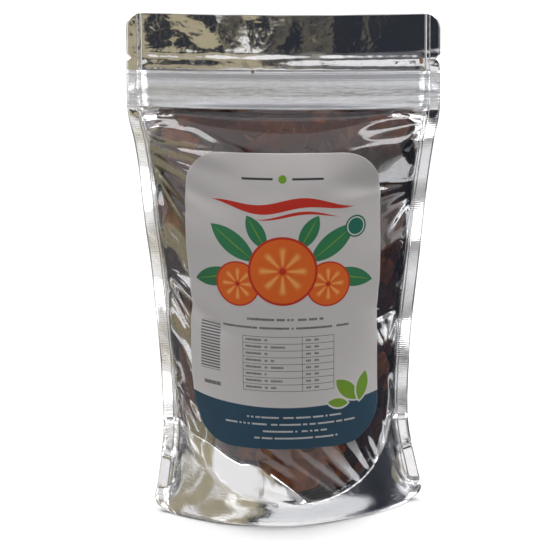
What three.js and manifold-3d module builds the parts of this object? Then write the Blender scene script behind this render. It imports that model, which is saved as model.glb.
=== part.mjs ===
// A filled stand-up pouch: a clear front film, a silver back film and a silver
// folded bottom, welded round the edges, with a press-to-close zip under the top
// seal, a paper label on the front and dried persimmon slices inside.
// Millimetres, +Z up. The front faces -Y, and the pouch stands on Z = 0.
// The films are drawn thicker than life, with a small gap wherever two touch.

import * as THREE from "three";
import { mergeVertices } from "three/addons/utils/BufferGeometryUtils.js";
import Module from "manifold-3d";

const { smoothstep, lerp } = THREE.MathUtils;

// The flat pouch
const WIDTH = 130;
const HEIGHT = 220;
const SIDE_SEAL = 6;
const TOP_CORNER = 6;
const BASE_CORNER = 9;
const NOTCH_HEIGHT = 200.6;
const NOTCH_DEPTH = 2.2;
const NOTCH_HALF = 1.1;

// Sheets and the room between them
const FILM = 0.5;
const GAP = 0.3;
const LAYER = FILM + GAP;

// The bulge: half of the depth at mid-width, by height
const HALF_DEPTH = [
  [0, 22.6],
  [12, 27],
  [42, 31.4],
  [72, 30.4],
  [100, 27.6],
  [143, 21],
  [166, 14.4],
  [177, 5.2],
  [184, 0],
  [HEIGHT, 0],
];
const SEAM = WIDTH / 2 - SIDE_SEAL;
const BASE_TWIST = THREE.MathUtils.degToRad(8);
const TWIST_TOP = 70;
const SEAM_TURN = 2;
const SEAM_WAVE = 2.2;
const SEAM_WAVE_PITCH = 50;
const LEFT_PHASE = 0.9;
const RIGHT_PHASE = 2.6;
// The ripple fades in and out between these heights, and from mid-width towards the seams
const RIPPLE_START = [46, 62];
const RIPPLE_END = [164, 178];
const RIPPLE_REACH = [34, 56];

// The folded bottom
const FOLD_HEIGHT = 41;
const BASE_SEAL = 12;
const SEAL_REACH = 55;
const SEAL_CURVE = 2.4;
const BOTTOM_SAG = 5;
const LEFT_RISE = 7;
const PUNCH_RADIUS = 9.8;
const PUNCH_HEIGHT = 17;
// How far above the weld the films come together again
const OVER_WELD = [3, 10];

// The zip
const ZIP_LOW = 180.4;
const ZIP_HIGH = 194.4;
const ZIP_END = SEAM - SEAM_TURN - 0.4;
const FLANGE = 0.5;
const FLANGE_FACE = 0.9;
const ZIP_ROOM = FLANGE_FACE + FLANGE + GAP / 2;
// The heights between which the film steps out over the zip and back
const ZIP_STEP_OUT = [ZIP_LOW - 2.4, ZIP_LOW - 0.4];
const ZIP_STEP_IN = [ZIP_HIGH + 0.6, ZIP_HIGH + 4.1];

// The label
const LABEL_HALF = 42.5;
const LABEL_LOW = 38.5;
const LABEL_HIGH = 164;
const LABEL_TOP_CORNER = 17;
const LABEL_BASE_CORNER = 19;
const LABEL_SHEET = 0.4;
const LABEL_GAP = 0.45;

const FRONT = -1;
const BACK = 1;

// A smooth line through stations of [place, value]
function through(stations, place) {
  const last = stations.length - 1;
  let i = 0;
  while (i < last - 1 && place > stations[i + 1][0]) i += 1;
  const slope = (k) => {
    if (k <= 0 || k >= last) return 0;
    const before = (stations[k][1] - stations[k - 1][1]) / (stations[k][0] - stations[k - 1][0]);
    const after = (stations[k + 1][1] - stations[k][1]) / (stations[k + 1][0] - stations[k][0]);
    return before * after > 0 ? (2 * before * after) / (before + after) : 0;
  };
  const [x0, y0] = stations[i];
  const [x1, y1] = stations[i + 1];
  const run = x1 - x0;
  const t = THREE.MathUtils.clamp((place - x0) / run, 0, 1);
  const rise = t * t * (3 - 2 * t);
  const leave = t * (1 - t) * (1 - t) * slope(i);
  const arrive = t * t * (1 - t) * slope(i + 1);
  return lerp(y0, y1, rise) + run * (leave - arrive);
}

// Half of the angle that the film's arc spans where the bulge is this deep
function arcAngle(depth) {
  const FLAT = 1e-3;
  let angle = Math.max(FLAT, (4 * depth) / (2 * SEAM));
  for (let i = 0; i < 12; i += 1) {
    const miss = (1 - Math.cos(angle)) / (2 * angle) - depth / (2 * SEAM);
    const slope = Math.sin(angle) / (2 * angle) - (1 - Math.cos(angle)) / (2 * angle * angle);
    angle = Math.max(FLAT, angle - miss / slope);
  }
  return angle;
}

// How the filled pouch stands: its side seams ripple and its base is turned a little
function settle(point) {
  const edge = smoothstep(Math.abs(point.x), ...RIPPLE_REACH);
  const fade = smoothstep(point.z, ...RIPPLE_START) * (1 - smoothstep(point.z, ...RIPPLE_END));
  const phase = point.x < 0 ? LEFT_PHASE : RIGHT_PHASE;
  const ripple = Math.sin((2 * Math.PI * point.z) / SEAM_WAVE_PITCH + phase);
  point.y += SEAM_WAVE * ripple * edge * fade;
  const turn = BASE_TWIST * (1 - smoothstep(point.z, 0, TWIST_TOP));
  return point.applyAxisAngle(new THREE.Vector3(0, 0, 1), turn);
}

// A place on a wall: across from mid-width along the film, up, and out from the seam's plane
function wallPoint(side, across, up, out) {
  const half = arcAngle(through(HALF_DEPTH, up));
  const radius = SEAM / half;
  const reach = Math.abs(across);
  let x = radius * Math.sin(half);
  let y = out;
  if (reach < SEAM) {
    x = (radius + out) * Math.sin(reach / radius);
    y = (radius + out) * Math.cos(reach / radius) - radius * Math.cos(half);
  } else if (reach === SEAM) {
    x += out * Math.tan(half / 2);
  } else {
    x += reach - SEAM;
  }
  return settle(new THREE.Vector3(Math.sign(across) * x, side * y, up));
}

// The upper edge of the weld between the folded bottom and the front or back
function sealLine(across) {
  const share = Math.min(1, Math.abs(across) / SEAL_REACH);
  return BASE_SEAL + (FOLD_HEIGHT - BASE_SEAL) * share ** SEAL_CURVE;
}

// How far the front or back film's middle lies out from the seam's plane, before the bulge
function filmOut(across, up) {
  const overFold = 1 - smoothstep(up - sealLine(across), ...OVER_WELD);
  const zipHeight = smoothstep(up, ...ZIP_STEP_OUT) * (1 - smoothstep(up, ...ZIP_STEP_IN));
  const zipWidth = 1 - smoothstep(Math.abs(across), SEAM - SEAM_TURN, SEAM);
  return (FILM + GAP) / 2 + LAYER * overFold + ZIP_ROOM * zipHeight * zipWidth;
}

// How far a rounded corner draws the side in, at a distance from the end
function cornerInset(radius, toEnd) {
  return toEnd < radius ? radius - Math.sqrt(radius ** 2 - (radius - toEnd) ** 2) : 0;
}

// Half of the pouch's flat width at a height, with its rounded corners and tear notches
function halfWidth(up) {
  const rounded = cornerInset(BASE_CORNER, up) + cornerInset(TOP_CORNER, HEIGHT - up);
  const notch = NOTCH_DEPTH * Math.max(0, 1 - Math.abs(up - NOTCH_HEIGHT) / NOTCH_HALF);
  return WIDTH / 2 - rounded - notch;
}

// Column places across the film: the edge, the seam's crease, its turn, then even steps
const NARROWEST_SEAL = 1.5;
const COLUMN_STEPS = 8;
const COLUMNS = 2 * (COLUMN_STEPS + 2) + 1;
function columnAt(i, up) {
  const k = i - (COLUMN_STEPS + 2);
  const reach = Math.abs(k);
  if (reach < COLUMN_STEPS) return (k * SEAM) / COLUMN_STEPS;
  const edge = halfWidth(up);
  const crease = Math.min(SEAM, edge - NARROWEST_SEAL);
  return Math.sign(k) * [crease - SEAM_TURN, crease, edge][reach - COLUMN_STEPS];
}

// A closed sheet from its two skins: place(i, j, skin) gives each point, with skin -1 or 1
function sheet(columns, rows, place) {
  const positions = [];
  const faces = [];
  const size = columns * rows;
  for (const skin of [-1, 1])
    for (let j = 0; j < rows; j += 1)
      for (let i = 0; i < columns; i += 1) positions.push(...place(i, j, skin).toArray());
  const at = (i, j, skin) => (skin > 0 ? size : 0) + j * columns + i;
  const quad = (a, b, c, d) => faces.push(a, b, c, a, c, d);
  for (let j = 0; j < rows - 1; j += 1)
    for (let i = 0; i < columns - 1; i += 1) {
      quad(at(i, j, 1), at(i + 1, j, 1), at(i + 1, j + 1, 1), at(i, j + 1, 1));
      quad(at(i, j, -1), at(i, j + 1, -1), at(i + 1, j + 1, -1), at(i + 1, j, -1));
    }
  for (let i = 0; i < columns - 1; i += 1) {
    quad(at(i, 0, -1), at(i + 1, 0, -1), at(i + 1, 0, 1), at(i, 0, 1));
    quad(at(i, rows - 1, 1), at(i + 1, rows - 1, 1), at(i + 1, rows - 1, -1), at(i, rows - 1, -1));
  }
  for (let j = 0; j < rows - 1; j += 1) {
    quad(at(0, j, 1), at(0, j + 1, 1), at(0, j + 1, -1), at(0, j, -1));
    quad(at(columns - 1, j, -1), at(columns - 1, j + 1, -1), at(columns - 1, j + 1, 1), at(columns - 1, j, 1));
  }
  return solidFrom(positions, faces);
}

function solidFrom(positions, faces) {
  const geometry = new THREE.BufferGeometry();
  geometry.setAttribute("position", new THREE.Float32BufferAttribute(positions, 3));
  geometry.setIndex(faces);
  return geometry;
}

// Turns every face round, for a sheet whose columns run the other way
function flipped(geometry) {
  const index = geometry.index.array;
  for (let i = 0; i < index.length; i += 3) {
    [index[i + 1], index[i + 2]] = [index[i + 2], index[i + 1]];
  }
  return geometry;
}

const wasm = await Module();
wasm.setup();

function toSolid(geometry) {
  const bare = geometry.clone();
  bare.deleteAttribute("normal");
  bare.deleteAttribute("uv");
  const merged = mergeVertices(bare, 1e-4);
  const vertProperties = new Float32Array(merged.attributes.position.array);
  const triVerts = new Uint32Array(merged.index.array);
  return new wasm.Manifold(new wasm.Mesh({ numProp: 3, vertProperties, triVerts }));
}

function toGeometry(solid) {
  const mesh = solid.getMesh();
  const positions = [];
  for (let i = 0; i < mesh.numVert; i += 1)
    positions.push(...mesh.vertProperties.subarray(i * mesh.numProp, i * mesh.numProp + 3));
  return solidFrom(positions, [...mesh.triVerts]);
}

// Rows of the front and back films: even steps, with more where the film turns
const zipMiddle = (ZIP_LOW + ZIP_HIGH) / 2;
const SKIRT_TOP = 54;
const SHOULDER = 158;
function filmRows() {
  const even = (from, to, steps) =>
    Array.from({ length: steps }, (_, k) => lerp(from, to, k / steps));
  const baseCorner = [0, 0.8, 2.6, 5.4];
  const acrossNotch = [-NOTCH_HALF, 0, NOTCH_HALF].map((rise) => NOTCH_HEIGHT + rise);
  const topCorner = [15, TOP_CORNER, 2.4, 0.6, 0].map((drop) => HEIGHT - drop);
  return [
    ...baseCorner,
    ...even(BASE_CORNER, SKIRT_TOP, 7),
    ...even(SKIRT_TOP, SHOULDER, 12),
    ...even(SHOULDER, ZIP_STEP_OUT[0], 4),
    ...ZIP_STEP_OUT,
    zipMiddle,
    ...ZIP_STEP_IN,
    ...acrossNotch,
    ...topCorner,
  ];
}

function filmPanel(side) {
  const rows = filmRows();
  const panel = sheet(COLUMNS, rows.length, (i, j, skin) => {
    const across = columnAt(i, rows[j]);
    return wallPoint(side, across, rows[j], filmOut(across, rows[j]) + (skin * FILM) / 2);
  });
  return side === FRONT ? panel : flipped(panel);
}

// The bottom film: up inside the front skirt, across under the fill, down inside the back skirt
function bottomGusset() {
  const climb = [0, 0.02, 0.06, 0.12, 0.22, 0.4, 0.6, 0.8, 1];
  const span = [0.08, 0.24, 0.42, 0.58, 0.76, 0.92];
  const rows = climb.length * 2 + span.length;
  const middle = (FILM + GAP) / 2;
  const onWall = (side, i, share, skin) => {
    const tall = (column) => sealLine(column) + (skin * FILM) / 2;
    const up = share * tall(columnAt(i, FOLD_HEIGHT));
    return wallPoint(side, columnAt(i, up), up, middle + (skin * FILM) / 2);
  };
  const sheetOf = sheet(COLUMNS, rows, (i, j, skin) => {
    if (j < climb.length) return onWall(FRONT, i, climb[j], skin);
    if (j >= rows - climb.length) return onWall(BACK, i, climb[rows - 1 - j], skin);
    const share = span[j - climb.length];
    const point = onWall(FRONT, i, 1, skin).lerp(onWall(BACK, i, 1, skin), share);
    const reach = columnAt(i, FOLD_HEIGHT) / SEAM;
    const room = Math.max(0, 1 - reach * reach);
    const rise = reach < 0 ? LEFT_RISE * Math.sin(Math.PI * Math.min(1, -reach)) : 0;
    point.z += 4 * share * (1 - share) * (rise - BOTTOM_SAG * room);
    return point;
  });
  return punched(sheetOf);
}

// The half-round holes through which the front and back are welded at the base's corners
function punched(geometry) {
  const punchLength = 40;
  const punchSides = 28;
  let solid = toSolid(geometry);
  for (const edge of [-1, 1]) {
    const punch = new THREE.CylinderGeometry(PUNCH_RADIUS, PUNCH_RADIUS, punchLength, punchSides);
    const centre = wallPoint(FRONT, edge * (WIDTH / 2 - 0.5), PUNCH_HEIGHT, 0);
    punch.translate(centre.x, centre.y, centre.z);
    solid = solid.subtract(toSolid(punch));
  }
  return toGeometry(solid);
}

// A zip strip: its outline across the zip, as [depth, height], run along the pouch's width
function zipStrip(outline) {
  const profile = new THREE.Shape(outline.map(([y, z]) => new THREE.Vector2(y, z)));
  const strip = new THREE.ExtrudeGeometry(profile, { depth: 2 * ZIP_END, bevelEnabled: false, steps: 1 });
  strip.translate(0, 0, -ZIP_END);
  const along = new THREE.Vector3(1, 0, 0);
  const depth = new THREE.Vector3(0, 1, 0);
  const height = new THREE.Vector3(0, 0, 1);
  return strip.applyMatrix4(new THREE.Matrix4().makeBasis(depth, height, along));
}

const outer = FLANGE_FACE + FLANGE;

function ribStrip() {
  const stem = 0.35;
  const head = 0.85;
  return zipStrip([
    [-outer, ZIP_LOW],
    [-FLANGE_FACE, ZIP_LOW],
    [-FLANGE_FACE, zipMiddle - stem],
    [0.1, zipMiddle - stem],
    [0.1, zipMiddle - head],
    [0.3, zipMiddle - head],
    [0.6, zipMiddle - stem],
    [0.6, zipMiddle + stem],
    [0.3, zipMiddle + head],
    [0.1, zipMiddle + head],
    [0.1, zipMiddle + stem],
    [-FLANGE_FACE, zipMiddle + stem],
    [-FLANGE_FACE, ZIP_HIGH],
    [-outer, ZIP_HIGH],
  ]);
}

function grooveStrip() {
  const lipInner = 1.15;
  const lipOuter = 1.75;
  const hook = 0.65;
  const tip = -0.5;
  const hookBack = -0.2;
  const lip = (sign) => [
    [FLANGE_FACE, zipMiddle + sign * lipOuter],
    [tip, zipMiddle + sign * lipOuter],
    [tip, zipMiddle + sign * hook],
    [hookBack, zipMiddle + sign * hook],
    [hookBack, zipMiddle + sign * lipInner],
    [FLANGE_FACE, zipMiddle + sign * lipInner],
  ];
  return zipStrip([
    [outer, ZIP_LOW],
    [outer, ZIP_HIGH],
    [FLANGE_FACE, ZIP_HIGH],
    ...lip(1),
    ...lip(-1).reverse(),
    [FLANGE_FACE, ZIP_LOW],
  ]);
}

// The label: its rows crowd towards its rounded corners
function label() {
  const nearBase = [0, 0.02, 0.06, 0.11, 0.16];
  const nearTop = [0.87, 0.92, 0.96, 0.985, 1];
  const between = [0.24, 0.32, 0.4, 0.48, 0.56, 0.64, 0.72, 0.8];
  const rowShares = [...nearBase, ...between, ...nearTop];
  const steps = 12;
  return sheet(steps + 1, rowShares.length, (i, j, skin) => {
    const up = lerp(LABEL_LOW, LABEL_HIGH, rowShares[j]);
    const base = cornerInset(LABEL_BASE_CORNER, up - LABEL_LOW);
    const inset = base + cornerInset(LABEL_TOP_CORNER, LABEL_HIGH - up);
    const across = (LABEL_HALF - inset) * ((2 * i) / steps - 1);
    const under = filmOut(across, up) + FILM / 2 + LABEL_GAP;
    return wallPoint(FRONT, across, up, under + (LABEL_SHEET * (1 + skin)) / 2);
  });
}

// The same draws every time, evenly spread from 0 to 1
function seeded(seed) {
  let state = seed;
  return () => {
    state = (state * 1664525 + 1013904223) % 4294967296;
    return state / 4294967296;
  };
}

// A dried slice lying along a wall: round, or with a straight knife cut, thin in the
// middle, with a thicker rim and a gentle wave
function driedSlice({ side, across, up, inset, radius, cut, cutAngle, wave, lean }) {
  const sectors = 16;
  const middleThick = 0.75;
  // Each ring's share of the radius, and its thickness
  const rings = [
    [0.42, 0.8],
    [0.84, 1.15],
  ];
  const halfThick = 1.05;
  const rimRipple = 0.035;
  const curlDepth = 0.5;
  const reachOf = (angle) => {
    const toCut = Math.cos(angle - cutAngle);
    const straight = toCut > 0.05 ? (cut * radius) / toCut : Infinity;
    const round = radius * (1 + rimRipple * Math.sin(5 * angle + wave));
    return Math.min(round, straight);
  };
  const place = (angle, share, skin, thick) => {
    const reach = reachOf(angle) * share;
    const u = across + reach * Math.cos(angle);
    const z = up + reach * Math.sin(angle);
    const curl = curlDepth * share * share * Math.sin(2 * angle + wave);
    const tilt = lean * share * Math.sin(angle - wave);
    return wallPoint(side, u, z, -(inset + curl + tilt) + skin * thick * halfThick);
  };
  const positions = [];
  const faces = [];
  const ringStart = [];
  const addRing = (share, skin, thick) => {
    ringStart.push(positions.length / 3);
    for (let k = 0; k < sectors; k += 1)
      positions.push(...place((2 * Math.PI * k) / sectors, share, skin, thick).toArray());
  };
  for (const skin of [1, -1]) positions.push(...place(0, 0, skin, middleThick).toArray());
  for (const [share, thick] of rings) addRing(share, 1, thick);
  addRing(1, 0, 0);
  for (const [share, thick] of [...rings].reverse()) addRing(share, -1, thick);
  for (let k = 0; k < sectors; k += 1) {
    const next = (k + 1) % sectors;
    faces.push(0, ringStart[0] + k, ringStart[0] + next);
    const end = ringStart[ringStart.length - 1];
    faces.push(1, end + next, end + k);
    for (let r = 0; r < ringStart.length - 1; r += 1) {
      const [a, b] = [ringStart[r], ringStart[r + 1]];
      faces.push(a + k, b + k, b + next, a + k, b + next, a + next);
    }
  }
  const slice = solidFrom(positions, faces);
  return side === FRONT ? slice : flipped(slice);
}

// The fill: slices standing in loose layers behind the front film, and fewer at the back
function slicePlaces() {
  const draw = seeded(20);
  const shift = 0.4;
  const spread = () => shift * (2 * draw() - 1);
  const layer = (side, inset, lean, largest, places) =>
    places.map(([across, up, cut = WHOLE, smaller = 0]) => ({
      side,
      inset,
      lean,
      cut,
      across: across + spread(),
      up: up + spread(),
      radius: largest - smaller - draw(),
      cutAngle: 2 * Math.PI * draw(),
      wave: 2 * Math.PI * draw(),
    }));
  const WHOLE = 2;
  const CUT = 0.45;
  const frontPlaces = [
    [3, 33],
    [-36, 52],
    [36, 52, CUT],
    [0, 71],
    [-36, 90, CUT],
    [36, 90],
    [0, 109],
    [-36, 128],
    [36, 128],
    [0, 147],
    [-35, 160.4, WHOLE, 5],
    [35, 160.4, CUT, 5],
  ];
  const secondPlaces = [
    [-30, 70],
    [30, 70],
    [0, 89],
    [-30, 108, CUT],
    [30, 108],
    [0, 127],
    [-30, 144.5],
    [29, 144.5, CUT],
  ];
  const backPlaces = [
    [-22, 46],
    [20, 52, CUT],
    [-19, 88],
    [21, 94],
    [-2, 130],
  ];
  return [
    ...layer(FRONT, 2.6, 0.3, 18, frontPlaces),
    ...layer(FRONT, 7.4, 0.9, 16.8, secondPlaces),
    ...layer(BACK, 4.2, 1, 18.4, backPlaces),
  ];
}

const silver = new THREE.MeshStandardMaterial({ color: 0xc9ccd1, roughness: 0.16, metalness: 1 });
const clear = new THREE.MeshStandardMaterial({
  color: 0xf2f4f5,
  roughness: 0.06,
  metalness: 0,
  transparent: true,
  opacity: 0.2,
});
const zipPlastic = new THREE.MeshStandardMaterial({ color: 0xe4e6e8, roughness: 0.35, metalness: 0 });
const paper = new THREE.MeshStandardMaterial({ color: 0xefedea, roughness: 0.5, metalness: 0 });
const fruit = new THREE.MeshStandardMaterial({ color: 0x6e3a20, roughness: 0.45, metalness: 0 });

const pouch = new THREE.Group();
function add(name, geometry, material) {
  const mesh = new THREE.Mesh(geometry, material);
  mesh.name = name;
  pouch.add(mesh);
}

add("front_film", filmPanel(FRONT), clear);
add("back_film", filmPanel(BACK), silver);
add("bottom_gusset", bottomGusset(), silver);
add("zip_rib_strip", ribStrip(), zipPlastic);
add("zip_groove_strip", grooveStrip(), zipPlastic);
add("label", label(), paper);
slicePlaces().forEach((place, k) => {
  add(`slice_${String(k + 1).padStart(2, "0")}`, driedSlice(place), fruit);
});

export default pouch;
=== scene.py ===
"""A filled stand-up pouch of dried persimmon slices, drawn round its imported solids."""

import math

import bmesh
import bpy
import numpy as np
from bpy.props import FloatProperty, FloatVectorProperty, IntProperty, PointerProperty
from mathutils import Matrix, Vector, noise
from mathutils.bvhtree import BVHTree


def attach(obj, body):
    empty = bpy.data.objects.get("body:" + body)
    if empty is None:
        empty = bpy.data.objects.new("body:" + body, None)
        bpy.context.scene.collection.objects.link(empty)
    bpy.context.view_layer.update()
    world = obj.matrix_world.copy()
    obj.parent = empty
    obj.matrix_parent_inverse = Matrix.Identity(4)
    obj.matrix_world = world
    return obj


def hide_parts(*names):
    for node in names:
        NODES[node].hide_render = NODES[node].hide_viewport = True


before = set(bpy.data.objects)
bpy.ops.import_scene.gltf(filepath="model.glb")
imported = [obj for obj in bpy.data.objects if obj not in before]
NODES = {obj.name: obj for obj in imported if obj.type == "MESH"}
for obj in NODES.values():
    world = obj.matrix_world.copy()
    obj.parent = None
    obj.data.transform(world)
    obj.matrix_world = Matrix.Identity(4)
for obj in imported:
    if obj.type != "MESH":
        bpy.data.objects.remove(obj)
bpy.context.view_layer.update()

bl_info = {
    "name": "Stand-up Pouch of Dried Fruit",
    "version": (1, 0, 0),
    "blender": (4, 5, 0),
    "location": "3D View > Sidebar > Pouch",
    "description": "Makes a filled stand-up zip pouch with a clear front",
    "category": "Object",
}

MM = 0.001
FRONT = -1
BACK = 1
SLICES = sorted(name for name in NODES if name.startswith("slice_"))

# The flat pouch, in millimetres
WIDTH = 130
HEIGHT = 220
SIDE_SEAL = 6
SEAM = WIDTH / 2 - SIDE_SEAL
TOP_SEAL = 17.6
TOP_CORNER = 6
BASE_CORNER = 9
NOTCH_HEIGHT = 200.6
NOTCH_DEPTH = 2.2
NOTCH_HALF = 1.1
ZIP_LOW = 180.4
ZIP_HIGH = 194.4
ZIP_MIDDLE = (ZIP_LOW + ZIP_HIGH) / 2
FILM = 0.12

# Half of the pouch's depth at mid-width, by height
HALF_DEPTH = (
    (0, 22.6), (12, 27), (42, 31.4), (72, 30.4), (100, 27.6),
    (143, 21), (166, 14.4), (177, 5.2), (184, 0), (HEIGHT, 0),
)
BASE_TWIST = math.radians(8)
TWIST_TOP = 70
BASE_SHIFT = 1.5
SEAM_WAVE = 2.2
SEAM_WAVE_PITCH = 50

# The folded bottom
FOLD_HEIGHT = 41
BASE_SEAL = 12
SEAL_REACH = 55
SEAL_CURVE = 2.4
BOTTOM_SAG = 5
PUNCH_RADIUS = 9.8
PUNCH_HEIGHT = 17

# The fill's top, and how much farther it is along the bulged film than straight across
FILL_TOP = 179.6
SEAM_SHARE = 1.12

# The label
LABEL_HALF = 42.5
LABEL_LOW = 38.5
LABEL_HIGH = 164
LABEL_TOP_CORNER = 17
LABEL_BASE_CORNER = 19


def smoothstep(value, low, high):
    share = min(1.0, max(0.0, (value - low) / (high - low)))
    return share * share * (3 - 2 * share)


def lerp(low, high, share):
    return low + (high - low) * share


def ripple(across, up, size, seed):
    """Smooth noise over the flat film, from about -1 to 1."""
    return noise.noise(Vector((across / size, up / size, seed)))


def half_depth(up):
    """A smooth line through the stations of the bulge."""
    last = len(HALF_DEPTH) - 1
    i = 0
    while i < last - 1 and up > HALF_DEPTH[i + 1][0]:
        i += 1

    def slope(k):
        if k <= 0 or k >= last:
            return 0
        (x0, y0), (x1, y1), (x2, y2) = HALF_DEPTH[k - 1:k + 2]
        before = (y1 - y0) / (x1 - x0)
        after = (y2 - y1) / (x2 - x1)
        return 2 * before * after / (before + after) if before * after > 0 else 0

    (x0, y0), (x1, y1) = HALF_DEPTH[i:i + 2]
    run = x1 - x0
    t = min(1.0, max(0.0, (up - x0) / run))
    turn = t * (1 - t) ** 2 * slope(i) - t * t * (1 - t) * slope(i + 1)
    return lerp(y0, y1, t * t * (3 - 2 * t)) + run * turn


def arc_angle(depth):
    """Half of the angle that the film's arc spans where the bulge is this deep."""
    flat = 1e-3
    angle = max(flat, 2 * depth / SEAM)
    for _ in range(12):
        miss = (1 - math.cos(angle)) / (2 * angle) - depth / (2 * SEAM)
        slope = math.sin(angle) / (2 * angle) - (1 - math.cos(angle)) / (2 * angle * angle)
        angle = max(flat, angle - miss / slope)
    return angle


def twist_at(up):
    return BASE_TWIST * (1 - smoothstep(up, 0, TWIST_TOP))


def settle(x, y, up):
    """How the filled pouch stands: its side seams ripple, and its base is turned and shifted a little."""
    x += BASE_SHIFT * (1 - smoothstep(up, 0, 60))
    edge = smoothstep(abs(x), 34, 56)
    fade = smoothstep(up, 46, 62) * (1 - smoothstep(up, 164, 178))
    phase = 0.9 if x < 0 else 2.6
    y += SEAM_WAVE * math.sin(2 * math.pi * up / SEAM_WAVE_PITCH + phase) * edge * fade
    turn = twist_at(up)
    cos, sin = math.cos(turn), math.sin(turn)
    return Vector((x * cos - y * sin, x * sin + y * cos, up))


ANGLES = {}


def wall_point(side, across, up, out, flat_from=SEAM):
    """A place on a wall: across from mid-width along the film, up, and out from the seam's plane."""
    key = round(up, 3)
    if key not in ANGLES:
        ANGLES[key] = arc_angle(half_depth(up))
    half = ANGLES[key]
    radius = SEAM / half
    reach = abs(across)
    if reach < flat_from:
        x = (radius + out) * math.sin(reach / radius)
        y = (radius + out) * math.cos(reach / radius) - radius * math.cos(half)
    else:
        x = radius * math.sin(half) + reach - SEAM
        y = out
    return settle(math.copysign(x, across), side * y, up)


def seal_line(across):
    """The upper edge of the weld between the folded bottom and the front or back."""
    share = min(1, abs(across) / SEAL_REACH)
    return BASE_SEAL + (FOLD_HEIGHT - BASE_SEAL) * share ** SEAL_CURVE


def fold_rise(across):
    """How far the folded bottom stands up behind the front film, above its weld."""
    left = smoothstep(across, -SEAM, -32) * (1 - smoothstep(across, -16, 11))
    right = smoothstep(across, 37, 47) * (1 - smoothstep(across, 52, SEAM))
    step = smoothstep(across, -20.6, -19)
    return (15.2 + 1.8 * step) * left + 5 * right


def corner_inset(radius, to_edge):
    if to_edge >= radius:
        return 0
    return radius - math.sqrt(max(0, radius ** 2 - (radius - to_edge) ** 2))


def zip_relief(up):
    """How far the zip's ribs push the film out."""
    def rib(height, width):
        return math.exp(-(((up - height) / width) ** 2))
    ribs = 0.34 * rib(ZIP_MIDDLE + 1.2, 2.2) + 0.16 * rib(ZIP_LOW + 3, 0.9) - 0.1 * rib(ZIP_LOW + 4.6, 0.4)
    grooves = 0.1 * rib(ZIP_HIGH - 1.6, 0.45) + 0.07 * rib(ZIP_HIGH - 3.4, 0.4)
    grooves += 0.1 * rib(ZIP_LOW + 1.2, 0.5)
    return ribs - grooves


def punch_reach(across, up):
    """How far a place is from the middle of the half-hole at its side."""
    return math.hypot(abs(across) - WIDTH / 2 + 0.5, up - PUNCH_HEIGHT)


def film_out(across, up):
    """How far the front or back film lies out from the seam's plane, before the bulge."""
    over_fold = 1 - smoothstep(up, seal_line(across) + 1, seal_line(across) + 7)
    reach = punch_reach(across, up)
    dished = 1 - smoothstep(reach, PUNCH_RADIUS - 1.2, PUNCH_RADIUS + 0.4)
    zip_height = smoothstep(up, 178.2, 180.6) * (1 - smoothstep(up, 195, 198))
    zip_width = 1 - smoothstep(abs(across), SEAM - 2, SEAM + 0.4)
    puff = 0.22 * smoothstep(up, 195.5, 198) * (1 - smoothstep(up, 200.9, 202.4))
    crushed = 0.55 * math.exp(-(((up - ZIP_MIDDLE) / 2.2) ** 2)) * smoothstep(abs(across), SEAM - 1, SEAM + 1)
    crushed *= 1 - smoothstep(abs(across), WIDTH / 2 - 2.4, WIDTH / 2 - 1)
    between = (1 - smoothstep(abs(across), SEAM - 3, SEAM)) * puff
    lean = lerp(1.45, 0.55, (up - ZIP_LOW) / (ZIP_HIGH - ZIP_LOW))
    zip_room = (lean + zip_relief(up)) * zip_height * zip_width
    return 0.1 + 0.26 * over_fold * (1 - 0.75 * dished) + zip_room + between + crushed


def half_width(up):
    rounded = corner_inset(BASE_CORNER, up) + corner_inset(TOP_CORNER, HEIGHT - up)
    notch = NOTCH_DEPTH * max(0, 1 - abs(up - NOTCH_HEIGHT) / NOTCH_HALF)
    return WIDTH / 2 - rounded, notch


def fitted(across, up):
    """Draws the film's outer columns in where its corners are round or a notch is cut."""
    edge, notch = half_width(up)
    reach = abs(across)
    full = WIDTH / 2
    if edge < full and reach > 45:
        reach = 45 + (reach - 45) * (edge - 45) / (full - 45)
    if notch and reach > 60:
        reach = 60 + (reach - 60) * (full - notch - 60) / (full - 60)
    return math.copysign(reach, across)


def panel_waves(across, up):
    """Gentle dents that the front and back share where they are welded together."""
    in_top = smoothstep(up, 196, 204)
    lively = lerp(1.0, 0.3, smoothstep(across, 12, 44))
    top = 0.5 * ripple(across, up * 0.8, 15, 3.1) + 0.05 * ripple(across, up, 6, 8.4)
    bowed = 2.4 * (across / SEAM) ** 2 * smoothstep(up, 166, 206)
    bowed += 0.32 * smoothstep(across, -8, 30) * smoothstep(up, 196.5, 201)
    crease = 0.2 * math.exp(-(((up - (HEIGHT - TOP_SEAL)) / 0.6) ** 2))
    sides = 0.5 * ripple(across * 0.6, up, 9, 5.5) * smoothstep(abs(across), SEAM - 1, SEAM + 1)
    between_ends = smoothstep(up, 40, 56) * (1 - smoothstep(up, 170, 179))
    sides *= between_ends
    swept = 0.27 * max(0, abs(across) - SEAM) * (between_ends if across > 0 else 1 - smoothstep(up, 170, 179))
    low = (1 - smoothstep(up, 26, 42)) * (1 - 0.85 * smoothstep(abs(across), 48, 58))
    skirt = low * (0.9 * ripple(across, up, 26, 1.7) + 0.12 * ripple(across, up, 11, 6.6))
    hole = 1 - smoothstep(punch_reach(across, up), PUNCH_RADIUS - 1, PUNCH_RADIUS + 0.2)
    tilted = -0.13 * (up - PUNCH_HEIGHT) * hole
    return lively * in_top * top + bowed - crease + sides + swept + skirt + tilted


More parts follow.
